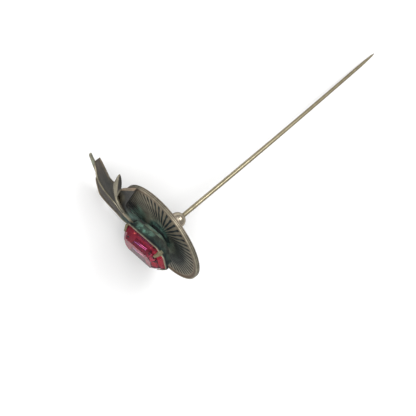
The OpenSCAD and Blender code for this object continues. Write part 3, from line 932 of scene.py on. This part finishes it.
def cut_away(piece, points, faces):
    """Takes a solid away from a piece, which keeps its masks."""
    mesh = bpy.data.meshes.new("cutter")
    mesh.from_pydata(lay_down(points).tolist(), [], faces)
    mesh.update()
    cutter = add_object("cutter", mesh)
    step = piece.modifiers.new("cut", "BOOLEAN")
    step.operation = "DIFFERENCE"
    step.object = cutter
    step.solver = "EXACT"
    bpy.context.view_layer.update()
    evaluated = piece.evaluated_get(bpy.context.evaluated_depsgraph_get())
    made = bpy.data.meshes.new_from_object(evaluated)
    piece.modifiers.clear()
    old = piece.data
    piece.data = made
    bpy.data.meshes.remove(old)
    bpy.data.objects.remove(cutter)
    bpy.data.meshes.remove(mesh)
    if not len(made.polygons):
        raise RuntimeError(f"cutting {piece.name} left nothing")


def leaf_masks(name, points, mask):
    """The finish of a leaf and its masks. Its edges are rubbed, and painted shade darkens it by the hub.
    The spur has painted light and shade on its two faces, and the side leaf painted light where the spur
    shades it.
    """
    along, near, far, share = points[:, 0], mask["near"], mask["far"], mask["share"]
    finish, wear_and_light = "Spray patina", 0.1 * near + 0.75 * far
    warm = 0.22 * ramp(18, 23, along) + 0.2 * near
    # Painted shade down by the hub
    dark = 0.6 * ramp(10.5, 8, along)
    green = 0.22 * ramp(10.5, 7.5, along)
    if name == "side_leaf":
        # Painted light lifts the shade that the spur casts on the side leaf
        painted_light_by_spur = ramp(11, 12.5, along) * ramp(-3, 0, points[:, 1])
        finish, wear_and_light, warm, dark = "Spray grey", 0.4 * far + painted_light_by_spur, far, 0.4 * dark
    elif name == "outer_leaf":
        wear_and_light, warm = 0.1 * near + 0.4 * far, 0.2 * ramp(5, 12, along) + 0.7 * far
    elif name == "tip_leaf":
        finish, wear_and_light, green = "Spray rubbed and lit", 0.2 * near + 0.4 * far, green + 0.25
    elif name == "spur_leaf":
        # Painted light and shade on the spur's fold: a pale lit face over its foot and a brown shaded one
        # beside it, and painted shade again down by the hub
        brown = ramp(0.42, 0.26, share) * ramp(13.3, 14.3, along)
        low = ramp(12, 9, along)
        pale = 0.35 + 0.25 * ramp(0.7, 0.5, share)
        wear_and_light = pale * (1 - brown) * (1 - low) + 0.3 * low * np.maximum(near, far)
        finish, warm, dark = "Spray rubbed and lit", 0.3 * brown, dark + 0.45 * low + 0.85 * brown
    crevice_and_shade = np.clip(dark * (1 - 0.7 * far), 0, 1)
    return finish, {"grain": mask["grain"], "wear_and_light": wear_and_light, "warm": np.clip(warm, 0, 1),
                    "green": green, "crevice_and_shade": crevice_and_shade}


class PIN_OT_spray(bpy.types.Operator):
    """Build the leaf spray: its root plate and five leaves of sheet metal"""

    bl_idname = "stick_pin.spray"
    bl_label = "Leaf spray"

    def execute(self, context):
        s, c = sizes(), colours()
        metals = {
            "Spray patina": patina_metal("Spray patina", c.leaves, c.shade),
            "Spray rubbed and lit": patina_metal("Spray rubbed and lit", c.rubbed_and_lit_leaf, c.leaves),
            "Spray grey": patina_metal("Spray grey", c.side_leaf, c.shade, warm=c.side_warm),
        }
        # The leaves stop at the cup's foot, with a little room round it
        foot_l, foot_w = cup_sizes()[2:]
        ring = octagon_ring(foot_l + 0.2, foot_w + 0.2, STONE_CORNER - CUP_WALL, 0.05, 2, 1)
        cutter = at_stone(columns(*ring.T, 0), 0)[:, :2]
        for name, table in LEAVES.items():
            thick = mm(s.side_leaf_thickness if name == "side_leaf" else s.leaf_thickness)
            points, faces, mask = leaf_mesh(table, thick, BEADS[name])
            # Nothing of a leaf hangs under the root plate near the hub
            by_hub = np.hypot(points[:, 0], points[:, 1]) < UNDER_R
            points[:, 2] = np.where(by_hub, np.maximum(points[:, 2], ROOT_Z), points[:, 2])
            finish, masks = leaf_masks(name, points, mask)
            piece = make_piece(name, points, faces, [metals[finish]], ["leaf_spray"], masks,
                               sharp=50)
            cut_away(piece, *prism(cutter, ROOT_Z + ROOT_T, CUTTER_TOP))

        # Columns: length, width, corner, height, how worn, how dark
        rows = np.array([
            (ROOT_L - 0.2, ROOT_W - 0.2, 1.6, ROOT_Z, 0.05, 0.7),
            (ROOT_L, ROOT_W, 1.6, ROOT_Z + 0.1, 0.1, 0.5),
            (ROOT_L, ROOT_W, 1.6, ROOT_Z + ROOT_T - 0.1, 0.5, 0),
            (ROOT_L - 0.2, ROOT_W - 0.2, 1.6, ROOT_Z + ROOT_T, 0.4, 0),
        ])
        points, faces, around = octagon_loft(rows[:, :4])
        wear_and_light, dark = np.repeat(rows[:, 4:].T, around, axis=1)
        masks = {"grain": columns(points[:, 0], points[:, 2] * 2, points[:, 1]), "wear_and_light": wear_and_light,
                 "crevice_and_shade": dark, "green": np.full(len(points), 0.65)}
        make_piece("spray_root", at_stone(points, 0), faces, [metals["Spray patina"]],
                   ["leaf_spray"], masks, sharp=30)
        return {"FINISHED"}


# Setting

# A claw's line from its foot over the corner of the crown, in mm: its inner edge and its outer
# edge, both as distance out of the corner and height over the girdle, and the share of its width
CLAW_LINE = (
    (0.14, -0.68, 0.5, -0.68, 1), (0.12, -0.2, 0.57, -0.2, 1), (0.12, 0.05, 0.58, 0.12, 1),
    (0.07, 0.17, 0.55, 0.33, 0.97), (-0.04, 0.32, 0.44, 0.52, 0.9), (-0.28, 0.64, 0.18, 0.86, 0.75),
    (-0.52, 0.96, -0.1, 1.2, 0.68), (-0.68, 1.17, -0.3, 1.43, 0.6), (-0.76, 1.28, -0.42, 1.53, 0.5),
    (-0.78, 1.34, -0.6, 1.56, 0.35),
)

# The claws by the signs of their corners, with their share of the full thickness and how much
# more they are rubbed. The third is rubbed thin, and hardly shows past the stone
CLAWS = ((1, 1, 1, 0), (1, -1, 1, 0.3), (-1, 1, 0.4, 0.3), (-1, -1, 1, 0))


def cup_sizes():
    """Length and width of the stone's seat at the girdle, and of the cup's foot, in mm."""
    s = sizes()
    inner_l, inner_w = mm(s.stone_length) + 2 * GIRDLE_GAP, mm(s.stone_width) + 2 * GIRDLE_GAP
    foot_l = inner_l + 2 * CUP_WALL - 2 * BASE_INSET
    return inner_l, inner_w, foot_l, inner_w + CUP_WALL


def cup_rows():
    """The cup from under its foot, up outside, over the frame and down inside: length, width,
    corner and height of each ring, then how worn, how green and how dark it is. The dark is painted shade
    under the frame and at the foot as well as patina."""
    inner_l, inner_w, foot_l, foot_w = cup_sizes()
    frame_l, frame_w = inner_l + 2 * CUP_WALL, inner_w + 2 * CUP_WALL
    hollow_l, hollow_w = foot_l - 2 * CUP_WALL, foot_w - 2 * CUP_WALL
    top = GIRDLE_Z + FRAME_LIP
    low = top - FRAME_H
    ledge = GIRDLE_Z - 0.22
    k, foot_k = STONE_CORNER, STONE_CORNER - CUP_WALL
    return np.array([
        (foot_l - 0.2, foot_w - 0.2, foot_k, CUP_Z, 0.1, 0.3, 1),
        (foot_l, foot_w, foot_k, CUP_Z + 0.08, 0.15, 0.5, 0.8),
        (foot_l, foot_w, foot_k, CUP_Z + 0.7, 0.05, 1, 0.05),
        (foot_l, foot_w, foot_k, low - 0.16, 0.02, 0.95, 0.45),
        (foot_l + 0.16, foot_w + 0.06, foot_k, low - 0.02, 0, 0.8, 0.8),
        (frame_l - 0.2, frame_w - 0.1, k + 0.16, low, 0.02, 0.4, 0.8),
        (frame_l, frame_w, k + 0.2, low + 0.12, 0.02, 0.25, 0.5),
        (frame_l, frame_w, k + 0.2, low + 0.45, 0.02, 0.15, 0.5),
        (frame_l, frame_w, k + 0.2, top - 0.14, 0.4, 0.05, 0.3),
        (frame_l - 0.1, frame_w - 0.1, k + 0.2, top - 0.04, 0.9, 0, 0),
        (frame_l - 0.26, frame_w - 0.26, k + 0.15, top, 1, 0, 0),
        (inner_l + 0.16, inner_w + 0.16, k, top, 0.9, 0, 0.1),
        (inner_l, inner_w, k, top - 0.08, 0.5, 0.1, 0.7),
        (inner_l, inner_w, k, ledge, 0.2, 0.1, 0.9),
        (inner_l - 0.6, inner_w - 0.6, k, ledge, 0.2, 0, 0.9),
        (hollow_l, hollow_w, foot_k, low + 0.1, 0.2, 0, 0.5),
        (hollow_l, hollow_w, foot_k, CUP_Z + CUP_FLOOR, 0.2, 0, 0.5),
    ])


def build_cup(metal):
    """The cup with its frame round the girdle."""
    rows = cup_rows()
    points, faces, around = octagon_loft(rows[:, :4])
    worn, green, dark = np.repeat(rows[:, 4:].T, around, axis=1)
    step = np.arange(len(points)) % around
    rise = points[:, 2] + np.hypot(points[:, 0], points[:, 1]) * 0.3
    # Most green by the middle of the side that meets the spray, least at the ends
    patch = np.exp(-((points[:, 0] - 1.2) / 2.4) ** 2)
    under_lip = points[:, 2] < GIRDLE_Z + FRAME_LIP - 0.2
    far_side = ramp(0.5, 2.5, points[:, 1])
    # Painted shade darkens the flank under the frame, except on the green patch
    masks = {"grain": columns(step * 0.6, rise, 0),
             "wear_and_light": worn * (1 - 0.7 * far_side), "green": green * (0.15 + 0.85 * patch),
             "crevice_and_shade": np.clip(dark + 0.55 * (1 - patch) * under_lip, 0, 1)}
    make_piece("stone_cup", at_stone(points, 0), faces, [metal], ["stone_setting"], masks)


def build_claws(metal):
    """The four claws over the corners of the stone."""
    s = sizes()
    # The claws are a little narrower than the frame's solid ones
    half = 0.9 * mm(s.claw_width) / 2
    corner_x = mm(s.stone_length) / 2 - STONE_CORNER / 2
    corner_y = mm(s.stone_width) / 2 - STONE_CORNER / 2
    turns = np.linspace(0, 2 * math.pi, 20, endpoint=False)
    across = np.sign(np.cos(turns)) * np.abs(np.cos(turns)) ** 0.6
    through = 0.5 + 0.5 * np.sign(np.sin(turns)) * np.abs(np.sin(turns)) ** 0.7
    outside = np.tile(ramp(0.6, 1.0, through), len(CLAW_LINE))
    inside = np.tile(ramp(0.3, 0.0, through), len(CLAW_LINE))
    faces = loft_faces(len(CLAW_LINE), len(turns))
    for number, (sx, sy, thickness, more_wear) in enumerate(CLAWS, 1):
        thick = through * thickness
        claw = np.concatenate([
            columns(x0 + (x1 - x0) * thick, across * half * width, z0 + (z1 - z0) * thick)
            for x0, z0, x1, z1, width in CLAW_LINE])
        turn = turning("Z", math.degrees(math.atan2(sy, sx)))
        placed = claw @ turn.T + (sx * corner_x, sy * corner_y, 0)
        # Painted shade on the claws' inner faces, against the stone
        masks = {"grain": columns(claw[:, 2], claw[:, 1] * 2, claw[:, 0]),
                 "wear_and_light": 0.1 + 0.35 * outside + more_wear, "crevice_and_shade": 0.6 * inside,
                 "green": 0.3 * ramp(0.6, -0.4, claw[:, 2])}
        make_piece(f"claw_{number}", at_stone(placed, GIRDLE_Z), faces, [metal],
                   ["stone_setting"], masks, sharp=60)


class PIN_OT_setting(bpy.types.Operator):
    """Build the cup that holds the stone, and its four claws"""

    bl_idname = "stick_pin.setting"
    bl_label = "Setting"

    def execute(self, context):
        c = colours()
        build_cup(patina_metal("Setting patina", c.cup, c.shade))
        build_claws(patina_metal("Claw patina", c.claw, c.claw_shade, worn=c.claw_worn))
        return {"FINISHED"}


# Stone


def stone_glass(name, tone):
    """Red glass, cut and polished."""
    material, tree, shader = shaded(name)
    clouds = group_node(tree, mottling_group, {"Scale": 120.0})
    feed(tree, shader, {
        "Base Color": opaque(tone), "Transmission Weight": 1.0, "IOR": 1.52,
        "Specular Tint": (1.0, 0.4, 0.5, 1),
        "Roughness": mapped(tree, clouds.outputs["Clouds"], 0.0, 1.0, 0.0, 0.02),
    })
    return material


def stone_foil(name, tone, metallic, glow):
    """Coloured foil behind the glass, a little uneven. Its glow is painted light, faint on the foils and
    strong on the glints.
    """
    material, tree, shader = shaded(name)
    clouds = group_node(tree, mottling_group, {"Scale": 160.0, "Contrast": 0.3})
    dark = opaque([v * 0.72 for v in tone])
    shade = mix_colour(tree, clouds.outputs["Clouds"], dark, opaque(tone))
    feed(tree, shader, {"Base Color": shade, "Emission Color": shade, "Metallic": metallic,
                        "Roughness": 0.06, "Emission Strength": glow})
    return material


# The stone's materials, by the number that its faces hold
TABLE, FOIL, VIOLET, ORANGE, STEP, DEEP, END, END_FOIL, ROSE = range(9)

# Kinds of the facets in a ring round the stone, from the corner at +X and -Y: the same for the
# pavilion's two rings and the girdle, then the lower and the upper step. The kinds paint light and shade on
# the one red glass: the steps are darker towards the table, and the end facets brighter, with a bright foil
# under the ends and corners and a dark one under the long sides
UNDERSIDE = (END_FOIL, END_FOIL, END_FOIL, FOIL, END_FOIL, END_FOIL, END_FOIL, FOIL)
LOWER_STEP = (STEP, STEP, STEP, TABLE, TABLE, END, END, STEP)
UPPER_STEP = (DEEP, STEP, STEP, TABLE, TABLE, END, END, DEEP)

# Painted glints and glowing patches inside the glass: both ends in the stone's own frame, half width,
# height over the girdle, kind
PAINTED_GLINTS = [
    ((1.6, 1.5), (3.4, 1.7), 0.05, -0.8, VIOLET),
    ((-1.0, 1.2), (1.6, 1.5), 0.05, -0.8, ROSE),
    ((3.5, -1.0), (4.2, -0.8), 0.045, -0.85, ORANGE),
    ((3.8, -0.5), (4.4, -0.6), 0.04, -0.9, ORANGE),
    ((-2.6, -0.9), (-2.3, -0.6), 0.05, -0.8, ORANGE),
    ((-5.6, -2.2), (-5.6, 2.2), 1.15, -0.08, END_FOIL),
    ((-3.5, 2.2), (-1.7, 2.2), 0.9, -0.33, END_FOIL),
    ((5.1, 0.9), (5.9, 1.4), 0.25, -0.3, FOIL),
]
PAINTED_GLINT_THICKNESS = 0.03

# Size of the table's cut corners, in mm
TABLE_CORNER = 0.85


def stone_mesh():
    """Points, faces and the kind of each face of the stone and the painted glints inside it."""
    s = sizes()
    long_side, width = mm(s.stone_length), mm(s.stone_width)
    crown, deep, inset = mm(s.crown_height), mm(s.pavilion_depth), mm(s.table_inset)
    k = STONE_CORNER
    # Columns: inset from the girdle, size of the corner, height
    rows = [(3.4, 0.5, -deep), (1.6, 1.3, -0.55 * deep), (0, k, -HALF_GIRDLE), (0, k, HALF_GIRDLE),
            (inset * 0.5, (k + TABLE_CORNER) / 2, crown * 0.6), (inset, TABLE_CORNER, crown)]
    points = []
    for inside, corner, height in rows:
        ring = octagon(long_side / 2 - inside, width / 2 - inside, corner)
        points += [(x, y, height) for x, y in ring]
    faces = loft_faces(len(rows), 8)
    kinds = [*UNDERSIDE * 3, *LOWER_STEP, *UPPER_STEP, END_FOIL, TABLE]
    # Each painted glint is a thin closed piece inside the glass that glows
    glint_faces = loft_faces(2, 4)
    for (x0, y0), (x1, y1), half, height, kind in PAINTED_GLINTS:
        side = np.array([y0 - y1, x1 - x0]) / math.hypot(x1 - x0, y1 - y0) * half
        first = len(points)
        for z in (height - PAINTED_GLINT_THICKNESS, height):
            for x, y, way in ((x0, y0, 1), (x0, y0, -1), (x1, y1, -1), (x1, y1, 1)):
                points.append((x + way * side[0], y + way * side[1], z))
        faces += [tuple(first + i for i in face) for face in glint_faces]
        kinds += [kind] * len(glint_faces)
    return points, faces, kinds


class PIN_OT_stone(bpy.types.Operator):
    """Build the step-cut stone with its table, crown steps, foiled pavilion and glowing painted glints"""

    bl_idname = "stick_pin.stone"
    bl_label = "Red stone"

    def execute(self, context):
        c = colours()
        # The glass tones, the faint glow of the foils and the strong glow of the glints are painted light
        # and shade
        materials = {
            TABLE: stone_glass("Table glass", c.stone), FOIL: stone_foil("Stone foil", c.foil, 1.0, 0.05),
            VIOLET: stone_foil("Violet glint", c.violet_glint, 0.0, 2.2),
            ORANGE: stone_foil("Orange glint", c.orange_glint, 0.0, 1.8),
            STEP: stone_glass("Step glass", c.step), DEEP: stone_glass("Deep glass", c.deep),
            END: stone_glass("End glass", c.end),
            END_FOIL: stone_foil("End foil", c.end_foil, 0.0, 0.08),
            ROSE: stone_foil("Rose glint", c.rose_glint, 0.0, 2.2),
        }
        points, faces, kinds = stone_mesh()
        make_piece("red_stone", at_stone(points, GIRDLE_Z), faces, list(materials.values()),
                   ["red_stone"], sharp=0, face_material=kinds)
        return {"FINISHED"}


# Floor, lights and camera

# What the lights point at in metres, and how far the floor reaches from the middle
LIGHT_AIM = (-0.02, 0, 0.008)
FLOOR_REACH = 1.5

# Columns of a light: name, place in mm, size in metres, power in watts
LIGHTS = (
    ("key_light", (400, 80, 520), 0.36, 1.6),
    ("top_light", (-60, 260, 600), 0.6, 1.5),
    ("fill_light", (-150, 60, 520), 0.3, 0.5),
    ("side_light", (-560, -160, 260), 0.4, 1.0),
)
ROOM_LIGHT = 0.54


def soft_box(name, place_mm, size, power):
    """A square studio light that points at the pin."""
    light = bpy.data.lights.new(name, "AREA")
    light.shape = "SQUARE"
    light.size = size
    light.energy = power
    lamp = add_object(name, light)
    lamp.location = Vector(place_mm) * MM
    lamp.rotation_euler = (Vector(LIGHT_AIM) - lamp.location).to_track_quat("-Z", "Y").to_euler()


def pale_floor():
    """A plain pale floor."""
    material, tree, shader = shaded("Pale floor")
    tone = opaque(colours().floor)
    clouds = add_node(tree, "ShaderNodeTexNoise", {"Scale": 6.0, "Detail": 3.0})
    shade = mix_colour(tree, clouds.outputs["Fac"], tone, tuple(v * 0.985 for v in tone))
    feed(tree, shader, {"Base Color": shade, "Roughness": 0.85, "Specular IOR Level": 0.2})
    mesh = bpy.data.meshes.new("floor")
    corners = [(-1, -1), (1, -1), (1, 1), (-1, 1)]
    mesh.from_pydata([(x * FLOOR_REACH, y * FLOOR_REACH, 0) for x, y in corners], [], [(0, 1, 2, 3)])
    mesh.materials.append(material)
    floor = add_object("floor", mesh)


def photo_camera(scene):
    """The camera at the photograph's angle to the pin."""
    lens = bpy.data.cameras.new("photo_camera")
    lens.lens = CAMERA_LENS
    lens.sensor_width = 36.0
    lens.clip_start = 0.01
    camera = add_object("photo_camera", lens)
    camera.location = Vector(CAMERA_AT) * MM
    camera.rotation_euler = [math.radians(v) for v in CAMERA_TURN]
    scene.camera = camera


class PIN_OT_stage(bpy.types.Operator):
    """Set out the pale floor, the soft lights and the camera"""

    bl_idname = "stick_pin.stage"
    bl_label = "Floor, lights and camera"

    def execute(self, context):
        scene = context.scene
        pale_floor()
        world = bpy.data.worlds.new("Soft room")
        world.use_nodes = True
        feed(world.node_tree, world.node_tree.nodes["Background"],
             {"Color": (1, 1, 1, 1), "Strength": ROOM_LIGHT})
        scene.world = world
        for light in LIGHTS:
            soft_box(*light)
        photo_camera(scene)
        scene.view_settings.view_transform = "Standard"
        return {"FINISHED"}


STEPS = (
    ("Wire", PIN_OT_wire), ("Collar", PIN_OT_collar), ("Disc", PIN_OT_disc),
    ("Leaf spray", PIN_OT_spray), ("Setting", PIN_OT_setting), ("Red stone", PIN_OT_stone),
    ("Stage", PIN_OT_stage),
)


class PIN_PT_sidebar(bpy.types.Panel):
    """The pin's steps, sizes and colours in the sidebar"""

    bl_idname = "PIN_PT_sidebar"
    bl_label = "Stick pin"
    bl_space_type = "VIEW_3D"
    bl_region_type = "UI"
    bl_category = "Stick pin"

    def draw(self, context):
        for title, step in STEPS:
            self.layout.operator(step.bl_idname, text=title)
        for title, group in (("Sizes", context.scene.stick_pin_sizes),
                             ("Colours", context.scene.stick_pin_colours)):
            box = self.layout.box()
            box.label(text=title)
            for name in group.__annotations__:
                box.prop(group, name)


CLASSES = (PinSizes, PinColours) + tuple(step for _, step in STEPS) + (PIN_PT_sidebar,)


def register():
    for item in CLASSES:
        bpy.utils.register_class(item)
    bpy.types.Scene.stick_pin_sizes = bpy.props.PointerProperty(type=PinSizes)
    bpy.types.Scene.stick_pin_colours = bpy.props.PointerProperty(type=PinColours)


def unregister():
    del bpy.types.Scene.stick_pin_colours
    del bpy.types.Scene.stick_pin_sizes
    for item in reversed(CLASSES):
        bpy.utils.unregister_class(item)


def main():
    """Builds the pin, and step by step."""
    register()
    bpy.ops.stick_pin.wire()
    bpy.ops.stick_pin.collar()
    bpy.ops.stick_pin.disc()
    bpy.ops.stick_pin.spray()
    bpy.ops.stick_pin.setting()
    bpy.ops.stick_pin.stone()
    bpy.ops.stick_pin.stage()


if __name__ == "__main__":
    main()
